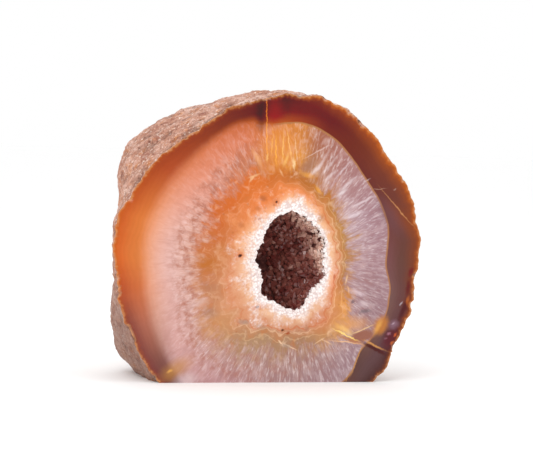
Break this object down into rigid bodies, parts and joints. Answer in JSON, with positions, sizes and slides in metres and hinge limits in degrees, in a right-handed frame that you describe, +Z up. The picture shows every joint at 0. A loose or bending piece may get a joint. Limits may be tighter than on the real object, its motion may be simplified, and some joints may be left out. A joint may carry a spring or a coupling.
{
  "type": "agate geode",
  "caption": "Half of a rough agate nodule with a polished banded face, a flat sawn base to stand on, and an open pocket lined with small quartz crystals.",
  "frame": {"origin": "centre of the bounding box in X and Y, on the sawn base in Z, so the stone stands on the plane Z = 0", "axes": "+Z up, -Y out of the polished face, +X to the right of someone who looks at the face"},
  "size_m": [0.1038, 0.057, 0.0967],
  "materials": {
    "polished_agate": "polished face, rough natural rind at the back",
    "smoky_quartz": "natural crystal faces, glassy"
  },
  "bodies": {
    "root": {"agate_stone": "polished_agate", "druse_crystals": "smoky_quartz"}
  },
  "joints": []
}
